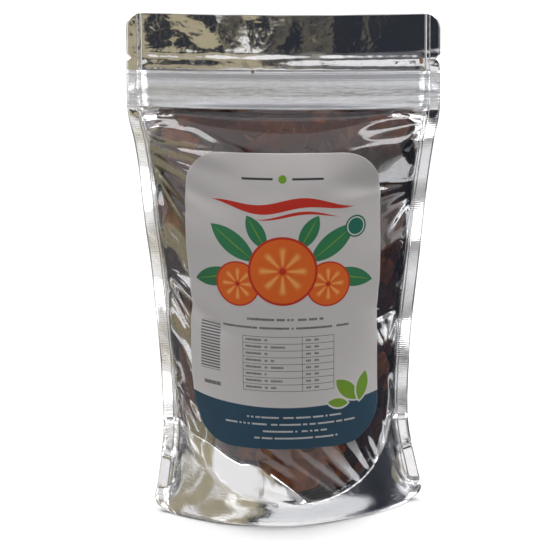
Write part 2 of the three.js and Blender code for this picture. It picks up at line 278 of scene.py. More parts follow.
def film_place(side, across, up):
    """Where the film is once filled; it lies flat where the front and back meet in a punched hole."""
    out = film_out(across, up)
    point = wall_point(side, across, up, out)
    in_hole = 1 - smoothstep(punch_reach(across, up), PUNCH_RADIUS - 2.4, PUNCH_RADIUS)
    if in_hole > 0:
        point = point.lerp(wall_point(side, across, up, out, flat_from=SEAM - PUNCH_RADIUS), in_hole)
    point.y += panel_waves(across, up)
    return point


def new_object(name, data):
    thing = bpy.data.objects.new(name, data)
    bpy.context.collection.objects.link(thing)
    return thing


def new_mesh_object(name, bm):
    """An object of the mesh that has been worked on, which is freed."""
    mesh = bpy.data.meshes.new(name)
    bm.to_mesh(mesh)
    bm.free()
    return new_object(name, mesh)


def new_grid(columns, rows):
    """A grid, and its vertices each with the number of its column and row."""
    bm = bmesh.new()
    bmesh.ops.create_grid(bm, x_segments=columns - 1, y_segments=rows - 1, size=0.5)
    return bm, [(vert, k % columns, k // columns) for k, vert in enumerate(bm.verts)]


def write_map(bm, name, place_of):
    """Gives a mesh a UV map, from what a function says of each vertex."""
    layer = bm.loops.layers.uv.new(name)
    for face in bm.faces:
        for loop in face.loops:
            loop[layer].uv = place_of(loop.vert)


def film_uv(across, up):
    """Where a place of the flat film is in the map that the materials read."""
    return across / WIDTH + 0.5, up / HEIGHT


def finish_piece(thing, material, slot, *nodes):
    """Gives a piece its material, smooth shading and body, and hides the nodes that it stands for; the slot is
    not used.
    """
    mesh = thing.data
    mesh.materials.clear()
    mesh.materials.append(material)
    mesh.polygons.foreach_set("use_smooth", [True] * len(mesh.polygons))
    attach(thing, "root")
    if nodes:
        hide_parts(*nodes)
    return thing


def add_modifier(thing, kind, **settings):
    modifier = thing.modifiers.new(kind.title(), kind)
    for key, value in settings.items():
        setattr(modifier, key, value)
    return modifier


def apply_modifiers(thing):
    """Puts the modifiers' result into the mesh itself."""
    graph = bpy.context.evaluated_depsgraph_get()
    made = bpy.data.meshes.new_from_object(thing.evaluated_get(graph), depsgraph=graph)
    thing.modifiers.clear()
    old = thing.data
    thing.data = made
    made.name = thing.name
    bpy.data.meshes.remove(old)


def flat_grid(name, across_places, up_places, turned=False):
    """A grid of the film's flat places in millimetres, kept as a UV map too."""
    bm, places = new_grid(len(across_places), len(up_places))
    for vert, column, row in places:
        up = up_places[row]
        vert.co = (fitted(across_places[column], up), 0, up)
    write_map(bm, "flat", lambda vert: film_uv(vert.co.x, vert.co.z))
    if turned:
        bmesh.ops.reverse_faces(bm, faces=bm.faces)
    return new_mesh_object(name, bm)


def film_rows():
    even = [k * 1.75 for k in range(int(177 / 1.75) + 1)]
    zip_rows = list(np.arange(178, 196.5, 0.6))
    notch_rows = [NOTCH_HEIGHT - NOTCH_HALF, NOTCH_HEIGHT, NOTCH_HEIGHT + NOTCH_HALF]
    top_rows = [HEIGHT - 17.0, HEIGHT - 15.6, *np.arange(206, HEIGHT - 1, 1.6), HEIGHT - 0.5, HEIGHT]
    return [*even, *zip_rows, 197.4, 198.4, *notch_rows, *top_rows]


def film_columns():
    inner = np.linspace(-SEAM, SEAM, 67)
    outer = np.linspace(SEAM, WIDTH / 2, 5)[1:]
    return [*(-outer[::-1]), *inner, *outer]


def grid_blur(values, rows, columns, spread):
    """Smooths values given on the film's grid, to leave only its broad form."""
    reach = int(3 * spread)
    kernel = np.exp(-0.5 * (np.arange(-reach, reach + 1) / spread) ** 2)
    kernel /= kernel.sum()
    grid = values.reshape(rows, columns, 3)
    for axis in (0, 1):
        grid = np.apply_along_axis(lambda line: np.convolve(line, kernel, mode="same"), axis, grid)
    return grid.reshape(-1, 3)


# Millimetres to the simulation's units
SIM_SCALE = 0.01


def inflate(thing, side, placed, rows, columns):
    """Sews a flat film to its seams as a cloth simulation and blows it up, so that it creases."""
    mesh = thing.data
    flat = np.array([vert.co[:] for vert in mesh.vertices])
    across, up = flat[:, 0], flat[:, 2]
    heights = np.linspace(0, HEIGHT, 881)
    depths = np.array([half_depth(height) for height in heights])
    steps = np.hypot(np.diff(heights), np.diff(depths))
    along = np.interp(up, heights, np.concatenate([[0], np.cumsum(steps)])) * pouch().slack
    lean = np.array([half_depth(z) * math.sin(twist_at(z)) for z in up])
    seals = np.array([seal_line(x) for x in across])
    free = (np.abs(across) < SEAM - 0.4) & (up < 178.2) & (up > seals)
    rumple = np.array([noise.noise_vector(Vector((x / 16, z / 16, side * 3.0))) for x, z in zip(across, up)])
    crown = 3 * np.clip(1 - (across / SEAM) ** 2, 0, 1)
    out = side * (0.4 + crown) + 0.6 * rumple[:, 1] * free
    start = np.stack([across - side * 0.85 * lean, out, along], -1)
    mesh.vertices.foreach_set("co", (start * SIM_SCALE).ravel())
    thing.shape_key_add(name="flat")
    key = thing.shape_key_add(name="placed")
    key.data.foreach_set("co", (placed * SIM_SCALE).ravel())
    scene = bpy.context.scene
    for value, at in ((0.0, 1), (1.0, 14)):
        key.value = value
        key.keyframe_insert("value", frame=at)
    for curve in mesh.shape_keys.animation_data.action.fcurves:
        for point in curve.keyframe_points:
            point.interpolation = "LINEAR"
    held = thing.vertex_groups.new(name="held")
    held.add([int(k) for k in np.where(~free)[0]], 1.0, "REPLACE")
    stiff = thing.vertex_groups.new(name="stiff")
    under_label = (np.abs(across) < LABEL_HALF) & (up > LABEL_LOW) & (up < LABEL_HIGH)
    stiff.add([int(k) for k in np.where(under_label)[0]], 1.0 if side == FRONT else 0.1, "REPLACE")
    cloth = thing.modifiers.new("Cloth", "CLOTH")
    settings = cloth.settings
    settings.quality = 7
    settings.mass = 0.15
    settings.tension_stiffness = settings.compression_stiffness = 60
    settings.shear_stiffness = 40
    settings.bending_stiffness = 1.3
    settings.vertex_group_bending = "stiff"
    settings.bending_stiffness_max = 40
    settings.tension_damping = settings.compression_damping = settings.shear_damping = 1
    settings.bending_damping = 0.2
    settings.use_pressure = True
    settings.uniform_pressure_force = 60
    settings.vertex_group_mass = "held"
    settings.effector_weights.gravity = 0
    cloth.collision_settings.use_collision = False
    cloth.collision_settings.use_self_collision = False
    last = 46
    cloth.point_cache.frame_start = 1
    cloth.point_cache.frame_end = last
    for number in range(1, last + 1):
        scene.frame_set(number)
    graph = bpy.context.evaluated_depsgraph_get()
    evaluated = thing.evaluated_get(graph).to_mesh()
    blown = np.array([vert.co[:] for vert in evaluated.vertices]) / SIM_SCALE
    thing.modifiers.clear()
    thing.animation_data_clear()
    mesh.shape_keys.animation_data_clear()
    thing.shape_key_clear()
    scene.frame_set(1)
    moved = blown - placed
    moved -= 0.85 * grid_blur(moved, rows, columns, 8)
    length = np.linalg.norm(moved, axis=1, keepdims=True)
    cap = 4.0
    moved *= np.minimum(1, cap / np.maximum(length, 1e-6))
    return placed + moved * free[:, None]


class Film:
    """A film's grid of places, from which the label and the fill read where the film is."""

    def __init__(self, across_places, up_places, places):
        self.across = np.array(across_places)
        self.up = np.array(up_places)
        self.places = places.reshape(len(up_places), len(across_places), 3)

    def at(self, across, up):
        i = int(np.clip(np.searchsorted(self.across, across) - 1, 0, len(self.across) - 2))
        j = int(np.clip(np.searchsorted(self.up, up) - 1, 0, len(self.up) - 2))
        s = (across - self.across[i]) / (self.across[i + 1] - self.across[i])
        t = (up - self.up[j]) / (self.up[j + 1] - self.up[j])
        g = self.places
        low = lerp(g[j, i], g[j, i + 1], s)
        high = lerp(g[j + 1, i], g[j + 1, i + 1], s)
        return Vector(lerp(low, high, t))

    def out_at(self, across, up, out):
        step = 1.5
        right = self.at(across + step, up) - self.at(across - step, up)
        rise = self.at(across, up + step) - self.at(across, up - step)
        return self.at(across, up) + right.cross(rise).normalized() * out


FILMS = {}


def make_film(name, side, material, slot, node):
    columns, rows = film_columns(), film_rows()
    thing = flat_grid(name, columns, rows, turned=side == BACK)
    flat = [vert.co.copy() for vert in thing.data.vertices]
    placed = np.array([film_place(side, place.x, place.z)[:] for place in flat])
    final = inflate(thing, side, placed, len(rows), len(columns))
    FILMS[side] = Film(columns, rows, final)
    thing.data.vertices.foreach_set("co", (final * MM).ravel())
    thing.data.update()
    add_modifier(thing, "SUBSURF", levels=1, render_levels=1)
    add_modifier(thing, "SOLIDIFY", thickness=FILM * MM, offset=0)
    apply_modifiers(thing)
    return finish_piece(thing, material, slot, node)


class Value:
    """A shader socket that sums and products are written with."""

    def __init__(self, shader, socket):
        self.shader = shader
        self.socket = socket

    def beside(self, name):
        """Another output of the same node."""
        return Value(self.shader, self.socket.node.outputs[name])

    def math(self, operation, *others):
        return self.shader.node("ShaderNodeMath", {"operation": operation}, [self, *others])

    def __add__(self, other):
        return self.math("ADD", other)

    def __sub__(self, other):
        return self.math("SUBTRACT", other)

    def __mul__(self, other):
        return self.math("MULTIPLY", other)

    def __truediv__(self, other):
        return self.math("DIVIDE", other)

    def __pow__(self, other):
        return self.math("POWER", other)

    def __rsub__(self, other):
        return self.shader.node("ShaderNodeMath", {"operation": "SUBTRACT"}, [other, self])

    __radd__ = __add__
    __rmul__ = __mul__

    def __abs__(self):
        return self.math("ABSOLUTE")

    def above(self, edge, soft):
        """1 where the value is above the edge and 0 where it is below, with a soft step."""
        limits = {"From Min": edge - soft / 2, "From Max": edge + soft / 2}
        smooth = {"interpolation_type": "SMOOTHSTEP"}
        return self.shader.node("ShaderNodeMapRange", smooth, {"Value": self, **limits})

    def below(self, edge, soft):
        return 1 - self.above(edge, soft)


class Shader:
    """A material or world and the one way in which its nodes are made."""

    def __init__(self, owner):
        owner.use_nodes = True
        self.tree = owner.node_tree
        self.tree.nodes.clear()
        self.owner = owner

    def node(self, kind, settings=None, inputs=None, output=0):
        made = self.tree.nodes.new(kind)
        for key, value in (settings or {}).items():
            if key == "stops":
                self.set_stops(made.color_ramp, value)
            else:
                setattr(made, key, value)
        named = inputs.items() if isinstance(inputs, dict) else enumerate(inputs or [])
        for key, value in named:
            if isinstance(value, Value):
                self.tree.links.new(value.socket, made.inputs[key])
            else:
                made.inputs[key].default_value = value
        return Value(self, made.outputs[output]) if made.outputs else made

    @staticmethod
    def set_stops(ramp, stops):
        while len(ramp.elements) < len(stops):
            ramp.elements.new(0.5)
        for element, (position, colour) in zip(ramp.elements, stops):
            element.position = position
            element.color = (*colour[:3], 1)

    def parts(self, vector):
        x = self.node("ShaderNodeSeparateXYZ", None, [vector])
        return x, x.beside("Y"), x.beside("Z")

    def flat_place(self):
        """Across from mid-width and up, in millimetres of the flat film."""
        place = self.node("ShaderNodeUVMap", {"uv_map": "flat"})
        x, y, _ = self.parts(place)
        return (x - 0.5) * WIDTH, y * HEIGHT

    def join(self, x, y, z=0.0):
        return self.node("ShaderNodeCombineXYZ", None, [x, y, z])

    def paint(self, under, over, mask):
        """One colour laid over another where the mask is 1."""
        colours = {"Factor": mask, 6: under, 7: over}
        return self.node("ShaderNodeMix", {"data_type": "RGBA"}, colours, output=2)

    def grain(self, place, scale, detail=2.0, roughness=0.5):
        sizes = {"Vector": place, "Scale": scale, "Detail": detail, "Roughness": roughness}
        return self.node("ShaderNodeTexNoise", None, sizes)

    def bump(self, height, distance, strength=1.0):
        sizes = {"Height": height, "Distance": distance, "Strength": strength}
        return self.node("ShaderNodeBump", None, sizes)

    def surface(self, shader_value):
        end = "World" if isinstance(self.owner, bpy.types.World) else "Material"
        self.node("ShaderNodeOutput" + end, None, {"Surface": shader_value})
        return self.owner


def new_shader(name):
    return Shader(bpy.data.materials.new(name))


def colour(value):
    return (*value, 1.0)


def weld_texture(shader, across, up):
    """The press marks of the welding bars: fine ribs down the sides, and a grain low down."""
    reach = abs(across)
    sides = reach.above(SEAM, 0.6) * up.below(ZIP_LOW - 6, 6) * up.above(FOLD_HEIGHT, 4)
    ribs = (up * (2 * math.pi / 0.85)).math("SINE") * 0.5 + 0.5
    seam = (1 - abs(reach - SEAM) / 0.45).math("MAXIMUM", 0.0)
    seam = seam + (1 - abs(reach - SEAM - 1.5) / 0.3).math("MAXIMUM", 0.0)
    share = (reach / SEAL_REACH).math("MINIMUM", 1.0)
    line = share ** SEAL_CURVE * (FOLD_HEIGHT - BASE_SEAL) + BASE_SEAL
    hole = disc(reach, up, (WIDTH / 2 - 0.5, PUNCH_HEIGHT), PUNCH_RADIUS)
    low = (line - up).above(0.0, 0.8) * (1 - hole)
    rows = shader.grain(shader.join(across * 0.35, up * 1.1), 1.0, 2.0, 0.6)
    bands = shader.grain(shader.join(across * 0.012, up * 0.8), 1.0, 4.0, 0.65)
    in_zip = up.above(ZIP_LOW - 0.4, 0.8) * up.below(ZIP_HIGH + 0.4, 0.8)
    return ribs * sides * 0.28 + rows * low * 0.7 + bands * in_zip * 3.6 - seam * 1.2, low, in_zip


def clear_film(colours):
    shader = new_shader("clear film")
    across, up = shader.flat_place()
    marks, low, in_zip = weld_texture(shader, across, up)
    fine = shader.grain(shader.join(across, up), 0.3, 2.0)
    normal = shader.bump(marks + fine * 0.12, 0.00008)
    fresnel = shader.node("ShaderNodeFresnel", None, {"IOR": 1.5, "Normal": normal})
    through = shader.node("ShaderNodeBsdfTransparent", None, [(0.96, 0.955, 0.95, 1)])
    gloss = shader.node("ShaderNodeBsdfPrincipled", None, {
        "Base Color": colour(colours.film_sheen), "Metallic": 1.0,
        "Roughness": in_zip * 0.09 + low * 0.03 + 0.03, "Normal": normal,
    })
    mixed = shader.node("ShaderNodeMixShader", None, [fresnel * 0.7 + 0.008 + in_zip * 0.4, through, gloss])
    return shader.surface(mixed)


def silver_film(colours):
    shader = new_shader("silver film")
    across, up = shader.flat_place()
    marks, low, in_zip = weld_texture(shader, across, up)
    dents = shader.grain(shader.join(across, up), 0.16, 2.0)
    fine = shader.grain(shader.join(across, up), 1.1, 3.0)
    normal = shader.bump(marks + dents * 1.1 + fine * 0.05, 0.00012)
    cloudy = shader.grain(shader.join(across, up), 0.07, 3.0)
    silver = shader.paint(colour(colours.silver), colour(colours.silver_shade), cloudy)
    # Painted reflection: behind the zip, darker streaks are laid into the film's colour to stand in for the
    # dark streaks that the foil mirrors there.
    streaks = shader.grain(shader.join(across * 0.01, up * 0.9), 1.0, 2.0)
    silver = shader.paint(silver, colour(colours.silver_painted_reflection_streaks), in_zip * streaks.above(0.52, 0.16))
    surface = shader.node("ShaderNodeBsdfPrincipled", None, {
        "Base Color": silver, "Metallic": 1.0,
        "Roughness": low * 0.02 + in_zip * 0.12 + cloudy * 0.03 + 0.04, "Normal": normal,
    })
    return shader.surface(surface)


def zip_plastic(colours):
    shader = new_shader("zip plastic")
    place = shader.node("ShaderNodeTexCoord", output=3)
    x, _, z = shader.parts(place)
    drawn = shader.grain(shader.join(x * 20, z * 2400), 1.0, 3.0, 0.6)
    normal = shader.bump(drawn, 0.00006)
    body = shader.node("ShaderNodeBsdfPrincipled", None, {
        "Base Color": colour(colours.zip_plastic), "Roughness": drawn * 0.2 + 0.25, "Normal": normal,
    })
    through = shader.node("ShaderNodeBsdfTransparent", None, [(0.95, 0.95, 0.96, 1)])
    return shader.surface(shader.node("ShaderNodeMixShader", None, [0.55, body, through]))


def disc(across, up, centre, radius):
    soft = 0.25
    dx = across - centre[0]
    dy = up - centre[1]
    return (dx * dx + dy * dy).math("SQRT").below(radius, soft)


def leaf(across, up, centre, length, width, turn, grow=0.0):
    """A pointed leaf where two discs cross."""
    long, wide = length / 2 + grow, width / 2 + grow
    radius = (long * long + wide * wide) / (2 * wide)
    away = radius - wide
    normal = (-math.sin(turn), math.cos(turn))
    first = (centre[0] + normal[0] * away, centre[1] + normal[1] * away)
    second = (centre[0] - normal[0] * away, centre[1] - normal[1] * away)
    return disc(across, up, first, radius) * disc(across, up, second, radius)


def block(across, up, low, high, soft=0.2):
    """A rectangle between two corners."""
    wide = across.above(low[0], soft) * across.below(high[0], soft)
    return wide * up.above(low[1], soft) * up.below(high[1], soft)


def broken(shader, across, seed, pitch=0.9):
    """Splits a line into dashes of uneven length, each uneven in itself."""
    cell = (across * (1 / pitch)).math("FLOOR") + seed * 17.3
    draw = shader.node("ShaderNodeTexWhiteNoise", {"noise_dimensions": "1D"}, {"W": cell})
    strokes = (across * (2 * math.pi / 0.62) + draw * 9).math("SINE") * 0.5 + 0.5
    return draw.above(0.14, 0.02) * (strokes * 0.5 + 0.5)


def label_paper(colours):
    shader = new_shader("label paper")
    across, up = shader.flat_place()
    place = shader.join(across, up)
    mottle = shader.grain(place, 0.04, 3.0)
    print_colour = shader.paint(colour(colours.paper), colour(colours.paper_shade), mottle)

    def paint(tone, mask):
        nonlocal print_colour
        print_colour = shader.paint(print_colour, colour(tone), mask)

    orange, deep = colours.print_orange, colours.print_red
    green, dark = colours.print_green, colours.print_ink
    for centre, length, width, turn in (
        ((-21, 127), 24, 9, 2.5), ((21, 127), 24, 9, 0.64), ((-29, 112), 20, 8, 3.4),
        ((29, 112), 20, 8, -0.26), ((-11, 132), 16, 7, 2.1), ((11, 132), 16, 7, 1.04),
    ):
        paint(green, leaf(across, up, centre, length, width, turn))
        vein = leaf(across, up, centre, length * 0.86, 0.5, turn)
        paint(colours.print_leaf, vein)
    for centre, radius in (((-19, 110), 9.5), ((19, 110), 9.5), ((0, 116), 14.5)):
        dx, dy = across - centre[0], up - centre[1]
        reach = (dx * dx + dy * dy).math("SQRT") / radius
        rays = ((dy.math("ARCTAN2", dx) * 8).math("COSINE") * 0.5 + 0.5) ** 3.0
        paint(deep, disc(across, up, centre, radius))
        paint(orange, disc(across, up, centre, radius * 0.93))
        paint(colours.print_flesh, rays * reach.above(0.16, 0.1) * reach.below(0.66, 0.2))
        paint(deep, disc(across, up, centre, radius * 0.1))
    swash_middle = (across * 0.16).math("SINE") * 1.5 + 143
    swash_half = (1 - (across / 31) ** 2.0).math("MAXIMUM", 0.0) * 2.3
    paint(deep, (swash_half - abs(up - swash_middle)).above(0.12, 0.2))
    under_half = (1 - ((across - 6) / 19) ** 2.0).math("MAXIMUM", 0.0) * 0.8
    paint(deep, (under_half - abs(up - swash_middle + 4.2)).above(0.12, 0.2))
    paint(dark, block(across, up, (-17, 153.6), (-4, 154.5)))
    paint(dark, block(across, up, (4, 153.6), (17, 154.5)))
    paint(colours.print_leaf, disc(across, up, (0, 154), 1.7))
    badge = (31, 133)
    paint(colours.print_badge, disc(across, up, badge, 4.6))
    paint(colours.paper, disc(across, up, badge, 3.9) * (1 - disc(across, up, badge, 3.4)))
    for row, (low, high, tall) in enumerate(((-15, 17, 1.0), (-26, 28, 0.9))):
        line = block(across, up, (low, 95 - 3.6 * row), (high, 95 - 3.6 * row + tall))
        paint(dark, line * broken(shader, across, 3.3 + row))
    rows, pitch, table_low, half_rule, soft = 8, 2.95, 64.5, 0.1, 0.12
    table_left, table_right, table_high = -17, 21.5, table_low + rows * pitch
    for row in range(rows + 1):
        rule = table_low + row * pitch
        low, high = (table_left, rule - half_rule), (table_right, rule + half_rule)
        paint(dark, block(across, up, low, high, soft))
    for upright in (table_left, 8, table_right):
        low, high = (upright - half_rule, table_low), (upright + half_rule, table_high)
        paint(dark, block(across, up, low, high, soft))
    in_cell = ((up - table_low) / pitch).math("FRACT")
    text = in_cell.above(0.36, 0.1) * in_cell.below(0.68, 0.1)
    cell_row = ((up - table_low) / pitch).math("FLOOR")
    left_end = (cell_row * 2.4).math("SINE") * 4 - 3
    left = across.above(-16, 0.2) * (left_end - across).above(0, 0.2)
    right = block(across, up, (9.5, table_low), (15, table_high))
    table_text = (left + right) * block(across, up, (table_left, table_low), (table_right, table_high))
    paint(dark, text * table_text * broken(shader, across, 0.4, 1.3) * 0.85)
    stripes = ((up / 1.25).math("FRACT")).above(0.5, 0.12)
    paint(dark, stripes * block(across, up, (-37, 71), (-27.5, 92)) * 0.85)
    paint(dark, block(across, up, (-35.5, 64.4), (-26, 66)) * broken(shader, across, 0.2, 2.1))
    band_top = across * across * 0.0012 + 57.2
    paint(colours.print_navy, (band_top - up).above(0, 0.25))
    for row, (low, high) in enumerate(((-17, 24), (-26, 30), (-10, 18), (-14, 22))):
        level = 52.4 - 3.1 * row
        line = block(across, up, (low, level), (high, level + 0.75))
        paint(colours.paper, line * broken(shader, across, row * 5.1))
    for centre, length, width, turn in (
        ((27.5, 63), 14, 6.4, 2.35), ((34.5, 63.5), 13, 5.4, 1.3), ((23, 57.8), 9, 4, 3.0),
    ):
        paint(colours.paper, leaf(across, up, centre, length, width, turn, 0.8))
        paint(colours.print_leaf, leaf(across, up, centre, length, width, turn))
    fibres = shader.grain(place, 1.6, 4.0)
    dents = shader.grain(place, 0.06, 2.0)
    normal = shader.bump(fibres * 0.2 + dents * 2.5, 0.0001)
    surface = shader.node("ShaderNodeBsdfPrincipled", None, {
        "Base Color": print_colour, "Roughness": fibres * 0.1 + 0.48, "Normal": normal,
        "Specular IOR Level": 0.2,
    })
    return shader.surface(surface)


def dried_fruit(name, colours, tone, seed):
    """Dried persimmon flesh: dark and glossy, with a paler star of seed pockets and a thin rim."""
    shader = new_shader(name)
    disc_place = shader.node("ShaderNodeUVMap", {"uv_map": "slice"})
    x, y, _ = shader.parts(disc_place)
    x, y = x - 0.5, y - 0.5
    reach = (x * x + y * y).math("SQRT") * 2
    angle = y.math("ARCTAN2", x)
    place = shader.node("ShaderNodeTexCoord", output=3)
    cloud = shader.grain(place, 90 + seed, 4.0, 0.6)
    blotch = shader.grain(place, 260 + seed * 3, 3.0, 0.6)
    fibres = shader.grain(shader.join(angle * 6, reach * 2.2), 1.0, 3.0)
    rays = ((angle * 8 + cloud * 2).math("COSINE") * 0.5 + 0.5) ** 2.0
    star = rays * reach.above(0.18, 0.2) * reach.below(0.62, 0.3) * cloud
    dark, middle, light = tone
    flesh = shader.node("ShaderNodeValToRGB", {
        "stops": [(0.28, dark), (0.5, middle), (0.78, light)],
    }, [cloud * 0.65 + blotch * 0.2 + fibres * 0.15])
    flesh = shader.paint(flesh, colour(light), star * 0.3)
    rim = reach.above(0.92, 0.1)
    flesh = shader.paint(flesh, colour(colours.rim), rim * cloud * 0.6)
    normal = shader.bump(blotch * 0.6 + fibres * 0.5 + star * 0.6, 0.0005, 0.8)
    surface = shader.node("ShaderNodeBsdfPrincipled", None, {
        "Base Color": flesh, "Roughness": blotch * 0.3 + 0.22, "Normal": normal,
        "Specular IOR Level": 0.22, "Subsurface Weight": 0.12,
        "Subsurface Radius": (0.004, 0.0016, 0.0006), "Subsurface Scale": 1.0,
    })
    return shader.surface(surface)


def slice_frame(points):
    """A slice's middle, the two directions it spreads in, and its radius."""
    places = np.array(points)
    middle = places.mean(axis=0)
    _, _, axes = np.linalg.svd(places - middle, full_matrices=False)
    flat = (places - middle) @ axes[:2].T
    return middle, axes, np.linalg.norm(flat, axis=1).max()


def shape_slice(bm, seed, depth=1.0):
    """Wrinkles a slice's skin, dishes it round its star and gives it the map its material reads."""
    middle, axes, radius = slice_frame([vert.co[:] for vert in bm.verts])

    def spread(vert):
        """Where a vertex is over the slice, from its middle, with the slice's radius as 1."""
        return ((np.array(vert.co[:]) - middle) @ axes.T / radius)[:2]

    bm.normal_update()
    moves = []
    for vert in bm.verts:
        x, y = spread(vert)
        reach, angle = math.hypot(x, y), math.atan2(y, x)
        rays = math.cos(8 * angle + seed) * smoothstep(reach, 0.1, 0.3) * (1 - smoothstep(reach, 0.4, 0.65))
        place = vert.co / MM
        crinkle = noise.noise(place / 3.2 + Vector((seed, 0, 0))) * smoothstep(reach, 0.2, 0.9)
        fine = noise.noise(place / 1.3)
        moves.append((vert, vert.normal * (0.14 * rays + 0.7 * crinkle + 0.16 * fine) * depth * MM))
    for vert, move in moves:
        vert.co += move
    write_map(bm, "slice", lambda vert: tuple(spread(vert) / 2 + 0.5))


def keep_in_room(bm, tree):
    """Pushes back whatever would poke through the front film, and lifts what the folded bottom holds up."""
    room = 0.5 * MM
    forward = Vector((0, -1, 0))
    for vert in bm.verts:
        across = vert.co.x / MM * SEAM_SHARE
        ledge = (seal_line(across) + fold_rise(across) + 0.8) * MM
        if vert.co.z < ledge:
            vert.co.z = ledge + 0.15 * (vert.co.z - ledge)
        hit = tree.ray_cast(vert.co - forward * 0.05, forward)[0]
        if hit is not None and vert.co.y < hit.y + room:
            vert.co.y = hit.y + room


def front_film_tree():
    mesh = bpy.data.objects["front_film_clear"].data
    points = [vert.co.copy() for vert in mesh.vertices]
    faces = [tuple(face.vertices) for face in mesh.polygons]
    return BVHTree.FromPolygons(points, faces)


def finer_slice(node, seed, tree):
    bm = bmesh.new()
    bm.from_mesh(NODES[node].data)
    bmesh.ops.remove_doubles(bm, verts=bm.verts, dist=1e-6)
    bmesh.ops.subdivide_edges(bm, edges=bm.edges, cuts=2, use_grid_fill=True)
    bmesh.ops.smooth_vert(bm, verts=bm.verts, factor=0.5, use_axis_x=True, use_axis_y=True, use_axis_z=True)
    shape_slice(bm, seed)
    keep_in_room(bm, tree)
    thing = new_mesh_object("fruit_" + node, bm)
    add_modifier(thing, "SUBSURF", levels=1, render_levels=1)
    return thing


def loose_piece(name, place, radius, squeeze, turn, seed, tree):
    """A torn or cut piece of slice that fills a gap between the larger ones."""
    across, up, inset = place
    bm = bmesh.new()
    bmesh.ops.create_circle(bm, cap_ends=True, segments=16, radius=1)
    bmesh.ops.poke(bm, faces=bm.faces)
    bmesh.ops.subdivide_edges(bm, edges=bm.edges, cuts=1, use_grid_fill=True)
    extruded = bmesh.ops.extrude_face_region(bm, geom=list(bm.faces))
    top = {item for item in extruded["geom"] if isinstance(item, bmesh.types.BMVert)}
    half_thick = 0.9
    cos, sin = math.cos(turn), math.sin(turn)
    for vert in bm.verts:
        x, y = vert.co.x, vert.co.y * squeeze
        angle = math.atan2(y, x)
        edge = 1 + 0.1 * math.sin(3 * angle + seed) + 0.05 * math.sin(7 * angle + 2 * seed)
        x, y = (x * cos - y * sin) * radius * edge, (x * sin + y * cos) * radius * edge
        lift = half_thick if vert in top else -half_thick
        sway = 0.9 * math.sin(x * 0.3 + seed) + 0.7 * math.cos(y * 0.35 + seed)
        flat = math.copysign(min(SEAM - 1.6, abs(across + x)), across + x)
        height = min(FILL_TOP, max(up + y, seal_line(flat) + fold_rise(flat) + 1))
        vert.co = wall_point(FRONT, flat, height, min(-0.6, lift - inset + sway)) * MM
    bmesh.ops.recalc_face_normals(bm, faces=bm.faces)
    shape_slice(bm, seed)
    keep_in_room(bm, tree)
    thing = new_mesh_object(name, bm)
    add_modifier(thing, "SUBSURF", levels=1, render_levels=1)
    return thing


def make_gusset(material):
    """The bottom film: up inside the front skirt, across under the fill, down inside the back skirt."""
    climb = [k / 14 for k in range(15)]
    span = [0.012, 0.03, 0.05, 0.075, 0.092, 0.1, 0.108, 0.125, *[0.15 + 0.85 * k / 25 for k in range(25)]]
    columns = film_columns()
    rows = len(climb) * 2 + len(span)
    inside = 0.13

    def on_wall(side, across, share):
        up = share * seal_line(across)
        held = fitted(across, up)
        point = wall_point(side, held, up, inside)
        point.y += panel_waves(held, up)
        return point

    def place(across, row):
        if row < len(climb):
            return on_wall(FRONT, across, climb[row])
        if row >= rows - len(climb):
            return on_wall(BACK, across, climb[rows - 1 - row])
        share = span[row - len(climb)]
        rise = fold_rise(across)
        crest = 0.1
        reach = across / SEAM
        room = max(0, 1 - reach * reach)
        round_share = 4 * share * (1 - share)
        up = seal_line(across) + rise * min(1, share / crest)
        front = wall_point(FRONT, fitted(across, up), up, inside - 0.2 - 1.2 * min(1, share / crest) * room)
        front.y += panel_waves(across, up)
        back = on_wall(BACK, across, 1)
        point = front.lerp(back, share if rise < 0.5 else max(0, (share - crest) / (1 - crest)))
        if share > crest:
            point.z = lerp(up, back.z, ((share - crest) / (1 - crest)) ** 0.7)
        point.z -= BOTTOM_SAG * room * round_share * (1 - smoothstep(rise, 0, 6))
        point.z += 1.1 * room * round_share * ripple(across, 40 * share, 11, 2.2)
        point.z += 0.5 * room * round_share * ripple(across, 60 * share, 5, 9.2)
        return point

    bm, places = new_grid(len(columns), rows)
    flat = {}
    for vert, column, row in places:
        across = columns[column]
        vert.co = place(across, row) * MM
        climb_share = min(1, min(row, rows - 1 - row) / (len(climb) - 1))
        flat[vert] = film_uv(across, climb_share * seal_line(across))
    write_map(bm, "flat", flat.get)
    for edge in (-1, 1):
        punch(bm, wall_point(FRONT, edge * (WIDTH / 2 - 0.5), PUNCH_HEIGHT, 0) * MM, PUNCH_RADIUS * MM)
    thing = new_mesh_object("bottom_gusset_silver", bm)
    add_modifier(thing, "SOLIDIFY", thickness=FILM * MM, offset=0)
    apply_modifiers(thing)
    return finish_piece(thing, material, "silver_film", "bottom_gusset")


def punch(bm, centre, radius, sides=40):
    """Cuts a round hole through a sheet from front to back, one straight cut at a time."""
    inside = [face for face in bm.faces if (face.calc_center_median() - centre).xz.length < 2 * radius]
    for k in range(sides):
        turn = 2 * math.pi * k / sides
        out = Vector((math.cos(turn), 0, math.sin(turn)))
        edges = {edge for face in inside for edge in face.edges}
        verts = {vert for face in inside for vert in face.verts}
        cut = bmesh.ops.bisect_plane(
            bm, geom=[*inside, *edges, *verts], dist=1e-7, plane_co=centre + out * radius, plane_no=out)
        faces = [item for item in cut["geom"] if isinstance(item, bmesh.types.BMFace)]
        inside = [face for face in faces if (face.calc_center_median() - centre).dot(out) < radius]
    bmesh.ops.delete(bm, geom=inside, context="FACES")


